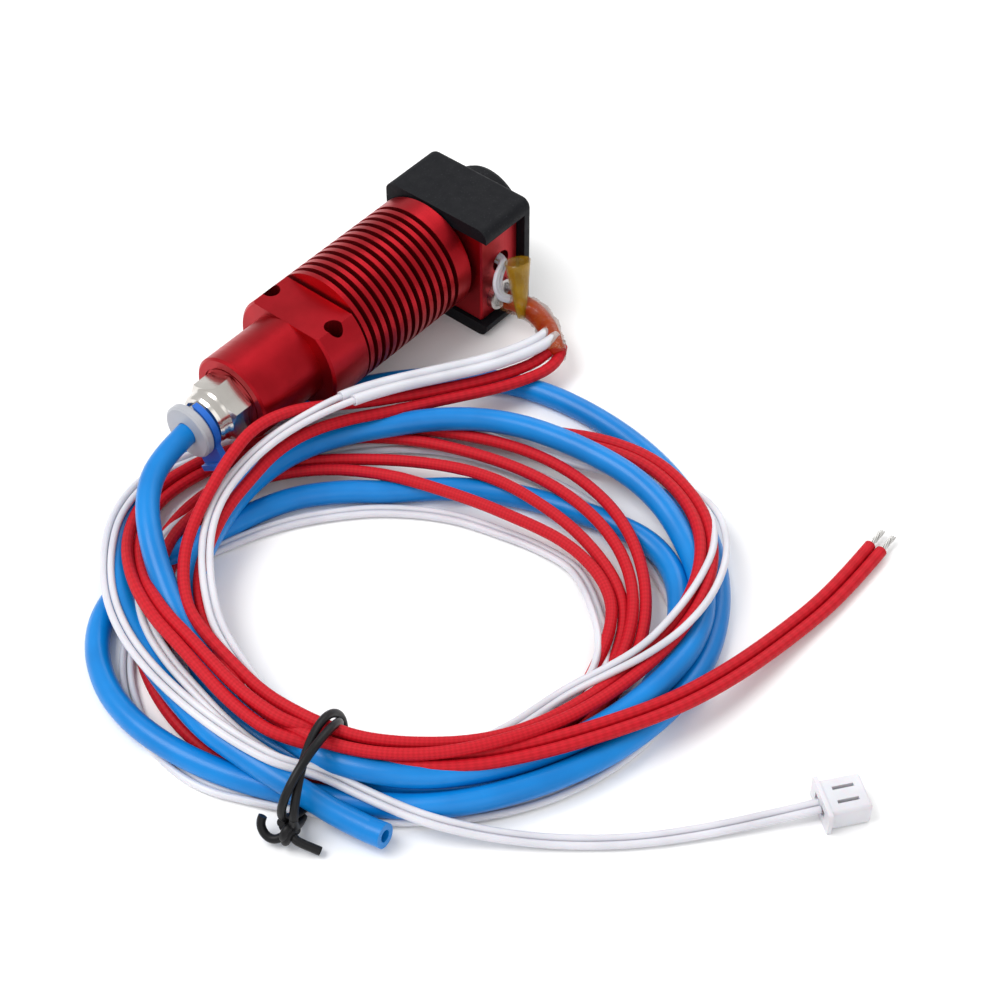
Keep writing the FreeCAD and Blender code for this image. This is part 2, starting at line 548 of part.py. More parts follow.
def sensor_legs():
    """Fibre-sleeved legs that loop from the sensor hole down into the tape wrap."""
    legs = []
    for side in (-SENSOR_LEG_SPREAD, SENSOR_LEG_SPREAD):
        x, y = SENSOR_X + side, BLOCK_Y_MIN
        route = [(x, y - 0.6, SENSOR_Z), (x - 0.5, y - 1.1, SENSOR_Z - 0.1),
                 (x - 2.2, y - 1.5, SENSOR_Z - 1.2), (x - 3.2, y - 1.9, SENSOR_Z - 3.0),
                 (x - 3.2, y - 2.6, SENSOR_Z - 4.8), (x - 2.0, y - 3.4, SENSOR_Z - 5.8)]
        legs.append(cord("sensor leg", route, SLEEVED_LEG_D))
    return Part.makeCompound(legs)


def all_nodes():
    nodes = {
        "heat_sink": heat_sink(), "heat_break": heat_break(), "tube_in_hotend": tube_in_hotend(),
        "coupling_body": coupling_body(), "coupling_seal": coupling_seal(), "gripping_ring": gripping_ring(),
        "collet": collet(), "retaining_clip": retaining_clip(), "heater_block": heater_block(),
        "heater_cartridge": heater_cartridge(), "heater_grub_screw": heater_grub_screw(),
        "temperature_sensor": temperature_sensor(), "nozzle": nozzle(), "silicone_sock": silicone_sock(),
        "sensor_legs": sensor_legs(), "tape_flag": tape_flag(), "cord_hank": cord_hank(),
        "cable_tie": cable_tie(), "plug_housing": plug_housing(), "plug_contacts": plug_contacts(),
        "heater_wire_bare_ends": bare_ends(),
        "tape_wrap": cord("tape_wrap", TAPE_ROUTE, TAPE_D),
        "tube_lead": cord("tube_lead", TUBE_LEAD, 2 * TUBE_R),
        "tube_free_end": cord("tube_free_end", TUBE_END, 2 * TUBE_R),
        "heater_wire_a_lead": cord("heater_wire_a_lead", HEATER_A_LEAD, HEATER_WIRE_D),
        "heater_wire_b_lead": cord("heater_wire_b_lead", HEATER_B_LEAD, HEATER_WIRE_D),
    }
    for letter, side in (("a", 1), ("b", -1)):
        end = beside(HEATER_END, side, HEATER_PAIR_GAP)
        nodes[f"heater_wire_{letter}_end"] = cord(f"heater_wire_{letter}_end", end, HEATER_WIRE_D)
        lead = beside(SENSOR_LEAD, side, SENSOR_PAIR_GAP, SLEEVE_POINTS)
        sleeve, wire = lead[:SLEEVE_POINTS], lead[SLEEVE_POINTS - 1:]
        nodes[f"sensor_sleeve_{letter}"] = cord(f"sensor_sleeve_{letter}", sleeve, SLEEVE_D)
        nodes[f"sensor_wire_{letter}_lead"] = cord(f"sensor_wire_{letter}_lead", wire, SENSOR_WIRE_D)
        end = beside(SENSOR_END, side, SENSOR_PAIR_GAP)
        nodes[f"sensor_wire_{letter}_end"] = cord(f"sensor_wire_{letter}_end", end, SENSOR_WIRE_D)
    return nodes


def main():
    os.makedirs("parts", exist_ok=True)
    for name, shape in all_nodes().items():
        if not shape.isValid():
            print(name, "is not a valid shape")
        shape.exportStep(os.path.join("parts", name + ".step"))
        box_ = shape.BoundBox
        print(f"{name}: {len(shape.Solids)} solid(s), {shape.Volume:.1f} mm3, "
              f"x {box_.XMin:.2f}..{box_.XMax:.2f}, y {box_.YMin:.2f}..{box_.YMax:.2f}, "
              f"z {box_.ZMin:.2f}..{box_.ZMax:.2f}")


main()
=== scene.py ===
"""Looks of a 3D printer's hotend, with its tube and wires coiled and tied beside it."""
import json
import math

import bmesh
import bpy
import numpy as np
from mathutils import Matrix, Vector, noise

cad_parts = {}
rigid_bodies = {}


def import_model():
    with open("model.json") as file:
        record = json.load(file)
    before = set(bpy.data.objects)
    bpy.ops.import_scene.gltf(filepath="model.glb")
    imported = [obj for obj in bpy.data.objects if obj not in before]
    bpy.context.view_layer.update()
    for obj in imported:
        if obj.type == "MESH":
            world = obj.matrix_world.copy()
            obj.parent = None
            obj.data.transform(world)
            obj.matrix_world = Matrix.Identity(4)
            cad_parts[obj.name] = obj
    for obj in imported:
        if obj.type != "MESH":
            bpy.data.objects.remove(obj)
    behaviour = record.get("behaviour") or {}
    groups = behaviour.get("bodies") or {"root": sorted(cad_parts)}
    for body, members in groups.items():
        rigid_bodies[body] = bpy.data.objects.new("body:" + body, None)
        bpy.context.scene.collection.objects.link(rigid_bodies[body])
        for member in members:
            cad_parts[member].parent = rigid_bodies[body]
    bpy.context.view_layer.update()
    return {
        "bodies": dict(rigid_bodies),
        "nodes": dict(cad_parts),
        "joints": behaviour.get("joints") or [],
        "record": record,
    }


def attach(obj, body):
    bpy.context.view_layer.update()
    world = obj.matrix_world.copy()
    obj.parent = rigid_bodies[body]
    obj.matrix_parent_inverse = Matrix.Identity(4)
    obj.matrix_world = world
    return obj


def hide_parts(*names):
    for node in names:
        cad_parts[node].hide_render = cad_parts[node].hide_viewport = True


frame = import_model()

MM = 0.001

# --- camera, floor and light -----------------------------------------------------------------------
CAMERA_AT = Vector((-215.85, -212.55, 287.2)) * MM
CAMERA_AZIMUTH, CAMERA_ELEVATION = math.radians(-50.27), math.radians(46.78)
CAMERA_LENS, CAMERA_SENSOR = 83.84, 36.0
FLOOR_HALF = 3.0            # in metres
WORLD_STRENGTH = 0.74
LIGHTS = (("key", (-0.35, 0.25, 0.75), 0.5, 4.6),       # name, place and size in metres, watts
          ("fill", (-0.55, -0.6, 0.5), 0.7, 1.2),
          ("rim", (0.6, 0.1, 0.5), 0.5, 1.6))
LIGHTS_AIM = (-0.02, -0.04, 0)

# --- places and sizes, in mm ---------------------------------------------------------------------
AXIS_Y, AXIS_Z = 1.45, 13.5
COIL_X, COIL_Y = -36.0, -44.5
SEEN_Z = 4.0                # the coil's radii are given where it crosses this height
TUBE_D, HEATER_D, SENSOR_D, SLEEVE_D = 4.0, 2.0, 1.2, 1.9
TUBE_BORE_D = 2.0
TUBE_LENGTH, HEATER_LENGTH, SENSOR_LENGTH = 880.0, 960.0, 930.0
DIAMETERS = {"tube": TUBE_D, "heater_wire_a": HEATER_D, "heater_wire_b": HEATER_D,
             "sensor_wire_a": SENSOR_D, "sensor_wire_b": SENSOR_D}
HEATER_GAP, SENSOR_GAP, SLEEVE_GAP = 2.1, 1.3, 1.92     # between the middles of a pair
SLEEVE_POINTS = 6           # of the sensor wires' lead, that lie in the sleeves
SLEEVE_LENGTH, SLEEVE_PLAY = 43.0, 0.05

# routes of the stretches that aren't coiled
TUBE_LEAD = [(-39.6, 1.45, 13.5), (-46.7, 0.7, 13.4), (-53.3, -2.8, 12.4), (-58.6, -8.9, 10.8),
             (-62.9, -16.2, 8.6), (-66.5, -24.0, 6.8), (-69.0, -32.2, 5.9), (-69.9, -38.4, 5.5)]
TUBE_END = [(-77.6, -45.0, 5.6), (-77.3, -52.5, 5.4), (-76.3, -59.6, 4.6), (-75.2, -65.4, 3.2),
            (-74.2, -69.9, 3.0)]
TUBE_TIP = (-73.8, -72.5, 3.4)
HEATER_A_LEAD = [(22.8, -26.6, 5.9), (19.4, -27.6, 5.2), (9.4, -24.4, 6.0), (-1.0, -19.4, 7.5),
                 (-11.0, -14.8, 9.6), (-18.6, -11.0, 12.0), (-26.0, -8.9, 15.0), (-33.4, -8.4, 16.6),
                 (-39.6, -9.2, 15.7), (-45.3, -10.2, 13.6), (-50.9, -11.7, 11.6), (-56.3, -14.3, 10.2),
                 (-61.2, -18.6, 9.0), (-65.0, -24.3, 8.4)]
HEATER_B_LEAD = [(23.6, -27.8, 5.2), (20.2, -30.2, 4.6), (9.8, -26.9, 5.2), (-0.4, -21.8, 6.6),
                 (-10.2, -17.6, 8.4), (-18.4, -14.0, 10.2), (-25.7, -12.0, 11.4), (-32.4, -11.4, 11.6),
                 (-38.6, -11.9, 10.6), (-44.8, -12.5, 9.5), (-50.6, -14.4, 8.2), (-56.2, -17.0, 7.2),
                 (-60.8, -21.6, 6.8), (-64.4, -27.4, 6.6)]
SENSOR_LEAD = [(23.4, -25.4, 7.0), (20.4, -26.2, 7.7), (10.2, -23.2, 8.5), (0.0, -18.6, 10.1),
               (-9.2, -15.3, 12.2), (-17.6, -13.3, 14.0), (-25.4, -11.6, 14.2), (-32.4, -10.8, 14.2),
               (-38.7, -10.6, 13.2), (-44.9, -11.3, 11.8), (-50.4, -13.7, 10.3), (-55.3, -17.8, 9.3),
               (-59.8, -23.0, 8.4), (-63.8, -29.2, 7.6)]
HEATER_END = [(-67.5, -58.4, 6.9), (-63.8, -67.8, 7.5), (-57.5, -75.4, 7.5), (-49.1, -81.7, 7.5),
              (-39.6, -87.2, 7.4), (-28.7, -91.8, 6.3), (-16.4, -94.3, 4.4), (-2.8, -95.4, 2.2),
              (10.0, -96.3, 1.4), (22.0, -95.6, 1.4)]
SENSOR_END = [(-72.4, -58.2, 5.6), (-70.8, -67.0, 5.2), (-68.2, -75.5, 4.1), (-63.1, -83.4, 2.0),
              (-57.0, -91.8, 0.9), (-49.4, -100.6, 0.9), (-41.2, -107.6, 1.0), (-34.0, -113.2, 1.5),
              (-27.6, -118.2, 2.2)]
TAPE_ROUTE = [(25.9, -13.0, 6.4), (26.7, -17.2, 6.7), (25.9, -21.6, 6.6), (23.8, -25.4, 6.3),
              (20.6, -28.4, 5.8)]
WRAP_OUTER, WRAP_INNER, WRAP_STEP, WRAP_SIDES = 2.12, 2.02, 0.25, 56
CREASE_WANDER, CREASE_RIDGE = 0.26, 0.30
CORE_R, CORE_WAVE, CORE_SIDES = 1.78, 0.12, 36
FLAG_FOOT, FLAG_LEAN = (24.8, -17.5, 7.4), (2.7, 3.1, 8.1)
FLAG_HEIGHT, FLAG_BELOW, FLAG_START = 8.8, 1.6, 0.6
FLAG_FOOT_R, FLAG_RIM_R, FLAG_INWARD = 0.85, 2.45, 0.22
FLAG_WOUND, FLAG_RINGS, FLAG_SIDES, FLAG_FILM = 1.12, 14, 48, 0.08
TIE_AT, TIE_TURN = (-73.0, -57.8), 18.0
TIE_HALF_WIDTH, TIE_HALF_HEIGHT, TIE_STRAND_D = 9.3, 6.1, 1.4
TIE_TWIST, TIE_STEPS = 1.5, 60      # turns of the strands about each other, points; once round the bundle
TIE_SPREAD, TIE_SPREAD_ALONG = 0.52, 1.3
TIE_UP, TIE_FLATTER = 0.2, 0.3
KNOT_R, KNOT_STEPS, KNOT_LIFTS = 1.1, 10, (0.0, 0.9)
KNOT_OUT, KNOT_BACK, KNOT_ALONG, KNOT_LEAN, KNOT_Z = 0.4, 0.8, 0.15, 0.3, 2.3
# the tie's tails, from its outer edge: out, along the bundle, height
STRAIGHT_TAIL = ((-0.2, -0.4, 2.6), (-0.9, -1.2, 2.4), (-0.9, -2.6, 2.0), (-0.7, -4.0, 1.5),
                 (-0.5, -5.2, 1.0))
LOOPED_TAIL = ((-0.2, 0.2, 2.4), (-1.2, 1.2, 1.6), (-1.5, 2.6, 1.4), (-1.1, 3.9, 2.0), (-0.3, 4.6, 3.2),
               (0.3, 4.4, 3.9))
SENSOR_HOLE = (27.05, -10.85, 13.6)
LEG_D = 0.8
# legs of the sensor: where each stands beside its route, and the route from the middle of the hole
LEG_ROUTES = (((-0.6, 0.6),
               ((0, 1.5, 0), (0, -0.6, 0), (-0.5, -1.1, -0.1), (-2.2, -1.5, -1.2), (-3.2, -1.9, -3.0),
                (-3.2, -2.6, -4.8), (-2.0, -3.4, -5.8), (-0.8, -4.6, -6.6))),
              ((-0.3, 0.35),
               ((0, 1.5, 0.9), (0, -0.5, 0.9), (-1.2, -1.3, 0.9), (-3.0, -1.6, -0.2), (-3.9, -2.0, -2.2),
                (-3.6, -2.6, -4.2), (-2.2, -3.6, -5.6), (-0.8, -4.8, -6.6))))
BARE_LENGTH, BARE_D, BARE_COUNT, BARE_POINTS = 4.0, 0.29, 6, 8
BARE_R, BARE_SPREAD, BARE_TWIST = 0.30, 0.015, 28
BRAID_PITCH, BRAID_YARNS = 1.9, 6


# turns of the coil: (angle in degrees, radius, height of the strand's middle), anticlockwise from +X.
# Each new turn starts when the angle falls.
TUBE_TURNS = [
    (196, 35.6, 5.2), (223, 36.8, 4.8), (251, 39.2, 4.4), (279, 43.6, 4.2), (304, 47.6, 4.4),
    (322, 46.7, 5.4), (340, 45.7, 6.4), (0, 43.0, 6.8), (18, 41.6, 6.8), (45, 38.5, 6.0),
    (76, 37.1, 5.0), (105, 34.9, 4.0), (134, 36.0, 3.4), (153, 35.8, 2.8),
    (180, 37.6, 2.2), (225, 39.4, 2.1), (270, 42.6, 2.1), (310, 43.4, 2.1), (324, 40.5, 2.1),
    (336, 35.0, 2.1), (352, 29.3, 2.1), (20, 24.4, 2.1), (49, 22.7, 2.1), (69, 25.6, 2.1),
    (86, 29.6, 2.1), (102, 33.2, 2.1), (115, 38.5, 2.1), (124, 44.4, 2.2), (136, 49.6, 2.3),
    (155, 50.6, 2.3), (173, 47.4, 2.3),
    (189, 43.8, 2.3), (204, 42.1, 2.3), (225, 41.9, 2.3), (250, 43.0, 2.3), (281, 46.4, 2.3),
    (315, 49.3, 2.3), (341, 50.1, 2.2), (0, 50.5, 2.1), (22, 51.4, 2.1), (45, 50.0, 2.1),
    (64, 50.2, 2.1), (86, 50.0, 2.1), (114, 49.6, 2.4), (130, 46.4, 3.0), (145, 43.4, 4.0),
    (160, 41.6, 5.0), (172, 41.3, 5.5)]
HEATER_TURNS = [
    (166, 32.2, 7.8), (184, 31.9, 7.8), (201, 32.6, 7.6), (233, 33.4, 7.0), (265, 35.6, 6.4),
    (281, 38.1, 6.4), (294, 41.6, 6.6), (306, 45.4, 6.6), (319, 48.9, 6.2), (331, 50.2, 5.0),
    (349, 48.5, 3.8), (4, 43.1, 2.8), (14, 40.3, 2.6), (28, 38.5, 2.4), (52, 38.3, 2.0),
    (80, 39.0, 1.6), (104, 40.0, 1.4), (135, 41.5, 1.3), (180, 41.0, 1.2), (225, 38.5, 1.2),
    (262, 35.8, 1.4), (284, 34.0, 2.6), (306, 33.3, 3.6), (326, 30.0, 4.6), (351, 26.3, 5.2),
    (9, 25.5, 5.2), (32, 26.0, 4.8), (53, 28.6, 3.8), (70, 32.4, 2.6), (90, 37.5, 1.6),
    (117, 41.3, 1.4), (145, 42.5, 1.4), (180, 42.5, 1.4), (225, 39.5, 1.4), (258, 37.6, 1.8),
    (294, 37.0, 3.2), (323, 36.4, 4.4), (353, 35.2, 4.8), (24, 34.9, 4.6), (44, 36.6, 3.8),
    (64, 39.0, 2.8), (80, 42.4, 2.0), (94, 46.4, 1.6), (108, 48.6, 2.8), (117, 47.3, 5.4),
    (127, 44.0, 8.2), (137, 40.2, 10.0), (149, 36.2, 10.2), (166, 34.4, 9.4), (186, 34.0, 8.6)]
SENSOR_TURNS = [
    (172, 30.7, 7.2), (196, 31.4, 6.6), (225, 33.0, 5.2), (258, 34.3, 4.0), (284, 33.8, 3.0),
    (305, 29.4, 2.0), (321, 27.0, 1.2), (334, 23.1, 0.8), (352, 19.4, 0.8), (14, 17.8, 0.8),
    (36, 17.6, 0.8), (54, 18.6, 0.8), (77, 21.6, 0.8), (96, 26.7, 0.8), (112, 33.0, 0.8),
    (124, 40.0, 0.8), (145, 46.3, 1.0), (164, 48.8, 1.2),
    (180, 48.8, 1.2), (196, 45.0, 1.2), (222, 44.3, 1.2), (253, 45.9, 1.2), (278, 46.8, 1.2),
    (296, 44.6, 1.2), (316, 40.4, 1.2), (338, 36.2, 1.2), (2, 33.0, 1.4), (27, 32.6, 1.4),
    (60, 33.8, 1.2), (90, 37.0, 1.0), (112, 41.6, 1.4), (125, 43.8, 2.8), (137, 43.0, 5.2),
    (147, 41.1, 6.8), (162, 38.8, 7.8), (175, 38.6, 7.2), (188, 39.0, 5.6), (200, 39.2, 4.8),
    (213, 37.2, 3.6), (228, 34.0, 3.0), (248, 32.2, 3.4), (264, 31.6, 4.6), (276, 33.2, 6.8),
    (287, 37.4, 8.6), (300, 42.8, 8.8), (308, 46.4, 8.5), (316, 50.0, 8.0), (323, 52.5, 6.9),
    (330, 53.4, 4.8), (338, 50.5, 3.4), (347, 43.5, 2.8), (0, 38.9, 2.8), (15, 37.8, 2.8),
    (46, 40.6, 2.4), (70, 42.2, 1.8), (88, 46.6, 1.4), (99, 50.8, 2.8), (108, 52.3, 4.2),
    (116, 51.4, 5.0), (124, 49.9, 5.5), (134, 47.9, 6.0), (145, 45.0, 7.0), (158, 41.8, 7.9),
    (174, 39.6, 8.2), (191, 39.0, 7.4)]

# where a pair's two wires part: (angle, counted on over the turns; reach to each side of it, in degrees;
# how much wider the gap gets)
HEATER_SPLAY = [(735, 62, 4.2), (1085, 60, 2.4)]
SENSOR_SPLAY = [(1028, 24, 2.0)]
STEP_ANGLE = 10.0           # between a turn's points

# --- how the strands settle ------------------------------------------------------------------------
RELAX_STEPS, RELAX_REFRESH = 160, 8
LINE_POINTS = 3             # points watched for touching, for each of a route's points
SETTLE_MARGIN = 3.0         # pairs of points that are this near are watched for touching
FEWEST_BETWEEN, BETWEEN_PER_MM = 10, 5     # a strand's own points this near along it may be near in space
CONTACT_GROWTH = 1.02       # strands are pushed a little further apart than touching
SIDEWAYS_SHARE = 0.6        # of a push, so that strands climb over each other first
PUSH_SHARE, PUSH_GAIN = 0.55, 1.6
FLOOR_PUSH = 0.9
HOME_SPRING = (0.05, 0.05, 0.02)
BEND_SPRING = 0.25
DEEP_OVERLAP = 0.3          # in mm, for the printed count
TINY = 1e-6
# the hotend's round parts: start and end along the filament axis, radius
HOTEND_ROUNDS = ((-15.3, 20.9, 11.0), (-29.1, -15.3, 8.0), (-40.0, -29.1, 5.8))
HOTEND_CLEARANCE = 0.1


def smooth_value(angles, values, a):
    """Value at an angle on the smooth curve through the stations (Catmull-Rom)."""
    k = int(np.clip(np.searchsorted(angles, a) - 1, 0, len(angles) - 2))
    k0, k3 = max(k - 1, 0), min(k + 2, len(angles) - 1)
    width = angles[k + 1] - angles[k]
    t = (a - angles[k]) / width
    slope_1 = (values[k + 1] - values[k0]) / (angles[k + 1] - angles[k0]) * width
    slope_2 = (values[k3] - values[k]) / (angles[k3] - angles[k]) * width
    return ((2 * t ** 3 - 3 * t ** 2 + 1) * values[k] + (t ** 3 - 2 * t ** 2 + t) * slope_1
            + (3 * t ** 2 - 2 * t ** 3) * values[k + 1] + (t ** 3 - t ** 2) * slope_2)


def coil_points(turns):
    """Points of a strand's turns and their angles, from its stations."""
    angles = []
    turn = 0
    for k, (a, _, _) in enumerate(turns):
        if k and a < turns[k - 1][0]:
            turn += 1
        angles.append(a + 360 * turn)
    radii, heights = [t[1] for t in turns], [t[2] for t in turns]
    count = round((angles[-1] - angles[0]) / STEP_ANGLE)
    points = []
    steps = np.linspace(angles[0], angles[-1], count + 1)
    for a in steps:
        r, z = smooth_value(angles, radii, a), smooth_value(angles, heights, a)
        x, y = COIL_X + r * math.cos(math.radians(a)), COIL_Y + r * math.sin(math.radians(a))
        sight = (CAMERA_AT.z / MM - z) / (CAMERA_AT.z / MM - SEEN_Z)
        points.append((CAMERA_AT.x / MM + (x - CAMERA_AT.x / MM) * sight,
                       CAMERA_AT.y / MM + (y - CAMERA_AT.y / MM) * sight, z))
    return points, steps


def splayed(steps, gap, splays):
    """Gap of a pair at each angle."""
    gaps = np.full(len(steps), gap)
    for middle, reach, wide in splays:
        off = np.clip(np.abs(steps - middle) / reach, 0, 1)
        gaps += wide * (1 + np.cos(off * math.pi)) / 2
    return gaps


def beside(route, side, gaps):
    """One cord of a pair: side 1 lies left of the pair's middle line, -1 right."""
    moved = []
    for k, ((x, y, z), gap) in enumerate(zip(route, gaps)):
        before, after = route[max(k - 1, 0)], route[min(k + 1, len(route) - 1)]
        dx, dy = after[0] - before[0], after[1] - before[1]
        reach = side * gap / 2 / math.hypot(dx, dy)
        moved.append((x - dy * reach, y + dx * reach, z))
    return moved


def whole(lead, coil, end):
    """A cord's route, and which of its points belong to its turns."""
    free = [False] * len(lead) + [True] * len(coil) + [False] * len(end)
    return np.array(lead + coil + end), np.array(free)


def all_routes():
    """Every cord's route before the strands settle on each other."""
    routes = {"tube": whole(TUBE_LEAD, coil_points(TUBE_TURNS)[0], TUBE_END)}
    coil, steps = coil_points(HEATER_TURNS)
    gaps = splayed(steps, HEATER_GAP, HEATER_SPLAY)
    for letter, side, lead in (("a", 1, HEATER_A_LEAD), ("b", -1, HEATER_B_LEAD)):
        end = beside(HEATER_END, side, [HEATER_GAP] * len(HEATER_END))
        routes["heater_wire_" + letter] = whole(lead, beside(coil, side, gaps), end)
    coil, steps = coil_points(SENSOR_TURNS)
    gaps = splayed(steps, SENSOR_GAP, SENSOR_SPLAY)
    lead_gaps = [SLEEVE_GAP] * SLEEVE_POINTS + [SENSOR_GAP] * (len(SENSOR_LEAD) - SLEEVE_POINTS)
    for letter, side in (("a", 1), ("b", -1)):
        end = beside(SENSOR_END, side, [SENSOR_GAP] * len(SENSOR_END))
        routes["sensor_wire_" + letter] = whole(beside(SENSOR_LEAD, side, lead_gaps),
                                                beside(coil, side, gaps), end)
    return routes


def line_weights(count, per_span):
    """Matrix that turns a spline's control points into points on its line (uniform quadratic)."""
    rows = []
    for k in range(1, count - 1):
        for t in np.arange(per_span) / per_span:
            row = np.zeros(count)
            row[k - 1:k + 2] = (1 - t) ** 2 / 2, (1 + 2 * t - 2 * t * t) / 2, t * t / 2
            rows.append(row)
    return np.array(rows)


def near_pairs(line, owner, order, spacing, radius):
    """Pairs of points that are near enough to touch soon, except a strand's neighbouring points."""
    first, second = [], []
    for k in range(len(line)):
        distance = np.sqrt(((line - line[k]) ** 2).sum(1))
        close = distance < radius + radius[k] + SETTLE_MARGIN
        close &= (owner != owner[k]) | (np.abs(order - order[k]) >= spacing[k])
        found = np.nonzero(close)[0]
        first.append(np.full(len(found), k))
        second.append(found)
    return np.concatenate(first), np.concatenate(second)


def settle(routes):
    """Lets the turns come to rest on the table and on each other.

    The strands are held near where they start by soft springs, so some overlap stays, and the count of
    it is printed. The leads and the ends don't move.
    """
    names = list(routes)
    points = [routes[n][0].astype(float) for n in names]
    home = [p.copy() for p in points]
    weights = [line_weights(len(p), LINE_POINTS) for p in points]
    owner = np.concatenate([np.full(len(w), k) for k, w in enumerate(weights)])
    order = np.concatenate([np.arange(len(w)) for w in weights])
    radius = np.array([DIAMETERS[names[k]] / 2 for k in owner])
    spacing = np.array([max(FEWEST_BETWEEN, round(BETWEEN_PER_MM * DIAMETERS[n])) for n in names])[owner]
    for step in range(RELAX_STEPS + 1):
        line = np.concatenate([w @ p for w, p in zip(weights, points)])
        if step % RELAX_REFRESH == 0:
            first, second = near_pairs(line, owner, order, spacing, radius)
            reach = radius[first] + radius[second]
        gap = line[first] - line[second]
        distance = np.sqrt((gap ** 2).sum(1)) + TINY
        if step == RELAX_STEPS:
            break
        overlap = np.maximum(reach * CONTACT_GROWTH - distance, 0)
        force = gap / distance[:, None] * overlap[:, None]
        force[:, :2] *= SIDEWAYS_SHARE
        touching = np.bincount(first, weights=overlap > 0, minlength=len(line))
        push = np.stack([np.bincount(first, weights=force[:, axis], minlength=len(line))
                         for axis in range(3)], axis=1)
        push *= PUSH_SHARE / np.maximum(touching, 1)[:, None]
        push[:, 2] += np.maximum(radius - line[:, 2], 0) * FLOOR_PUSH
        push += clear_of_hotend(line, radius)
        start = 0
        for k, (w, p, h) in enumerate(zip(weights, points, home)):
            mine = push[start:start + len(w)]
            start += len(w)
            move = (w.T @ mine) / np.maximum(w.sum(0), 0.5)[:, None]
            spring = (h - p) * np.array(HOME_SPRING)
            bend = np.zeros_like(p)
            bend[1:-1] = (p[:-2] + p[2:]) / 2 - p[1:-1]
            bend[1:-1] -= (h[:-2] + h[2:]) / 2 - h[1:-1]
            free = routes[names[k]][1][:, None]
            p += np.where(free, move * PUSH_GAIN + spring + bend * BEND_SPRING, 0)
            p[:, 2] = np.maximum(p[:, 2], DIAMETERS[names[k]] / 2)
    deep = reach - distance
    print("strands: deepest overlap %.2f mm, points over %.1f mm deep %d of %d"
          % (deep.max(), DEEP_OVERLAP, len(set(first[deep > DEEP_OVERLAP])), len(line)))
    return dict(zip(names, points))


def clear_of_hotend(line, radius):
    """Push that keeps strands out of the heat sink, its neck and the coupling."""
    push = np.zeros_like(line)
    away = line[:, 1:] - np.array((AXIS_Y, AXIS_Z))
    distance = np.sqrt((away ** 2).sum(1)) + TINY
    for start, end, r in HOTEND_ROUNDS:
        inside = (line[:, 0] > start - radius) & (line[:, 0] < end + radius)
        depth = np.where(inside, np.maximum(r + radius + HOTEND_CLEARANCE - distance, 0), 0)
        push[:, 1:] += away / distance[:, None] * depth[:, None]
    return push


# --- materials ---------------------------------------------------------------------------------------
class Shader:
    """A material's node tree with short ways to add and join nodes."""

    def __init__(self, name):
        self.material = bpy.data.materials.new(name)
        self.material.use_nodes = True
        self.nodes, self.links = self.material.node_tree.nodes, self.material.node_tree.links
        self.base = self.nodes["Principled BSDF"]

    def add(self, kind, **values):
        node = self.nodes.new(kind)
        for key, value in values.items():
            setattr(node, key, value)
        return node

    def join(self, source, target):
        self.links.new(source, target)

    def set(self, **values):
        for key, value in values.items():
            self.base.inputs[key.replace("_", " ")].default_value = value

    def place(self, scale=(1, 1, 1)):
        """Coordinates fixed to the object, in units of the given scale."""
        where = self.add("ShaderNodeTexCoord")
        mapping = self.add("ShaderNodeMapping")
        mapping.inputs["Scale"].default_value = scale
        self.join(where.outputs["Object"], mapping.inputs["Vector"])
        return mapping.outputs["Vector"]

    def noise(self, scale, detail=3.0, stretch=(1, 1, 1)):
        texture = self.add("ShaderNodeTexNoise")
        texture.inputs["Scale"].default_value = scale
        texture.inputs["Detail"].default_value = detail
        self.join(self.place(stretch), texture.inputs["Vector"])
        return texture.outputs["Fac"]

    def spread(self, value, low, high):
        """Maps 0.3..0.7 of a noise to a range."""
        node = self.add("ShaderNodeMapRange")
        for socket, number in zip(("From Min", "From Max", "To Min", "To Max"), (0.3, 0.7, low, high)):
            node.inputs[socket].default_value = number
        self.join(value, node.inputs["Value"])
        return node.outputs["Result"]

    def colours(self, value, dark, light):
        ramp = self.add("ShaderNodeValToRGB")
        ramp.color_ramp.elements[0].position, ramp.color_ramp.elements[1].position = 0.3, 0.7
        ramp.color_ramp.elements[0].color = (*dark, 1)
        ramp.color_ramp.elements[1].color = (*light, 1)
        self.join(value, ramp.inputs["Fac"])
        self.join(ramp.outputs["Color"], self.base.inputs["Base Color"])

    def bump(self, value, distance, strength=0.5):
        node = self.add("ShaderNodeBump")
        node.inputs["Distance"].default_value = distance
        node.inputs["Strength"].default_value = strength
        self.join(value, node.inputs["Height"])
        if self.base.inputs["Normal"].is_linked:
            self.join(self.base.inputs["Normal"].links[0].from_socket, node.inputs["Normal"])
        self.join(node.outputs["Normal"], self.base.inputs["Normal"])


def turned_metal(name, dark, light, roughness, lines=2600, depth=0.00002, metallic=1.0):
    """Metal with fine turning lines round the filament axis and slight stains."""
    s = Shader(name)
    s.set(Metallic=metallic)
    s.colours(s.noise(140, 4), dark, light)
    grooves = s.noise(1.0, 3, (lines, 6, 6))
    s.join(s.spread(grooves, roughness * 0.85, roughness * 1.2), s.base.inputs["Roughness"])
    s.bump(grooves, depth, 0.5)
    return s.material


def moulded(name, dark, light, roughness=0.35, grain=900, depth=0.00001, through=0.0, shine=0.5):
    """Moulded or extruded plastic, with a slight unevenness and optional depth of colour."""
    s = Shader(name)
    s.colours(s.noise(90, 3), dark, light)
    s.set(Roughness=roughness, Subsurface_Weight=through, Subsurface_Scale=0.0015,
          Specular_IOR_Level=shine)
    s.bump(s.noise(grain, 4), depth, 0.4)
    return s.material


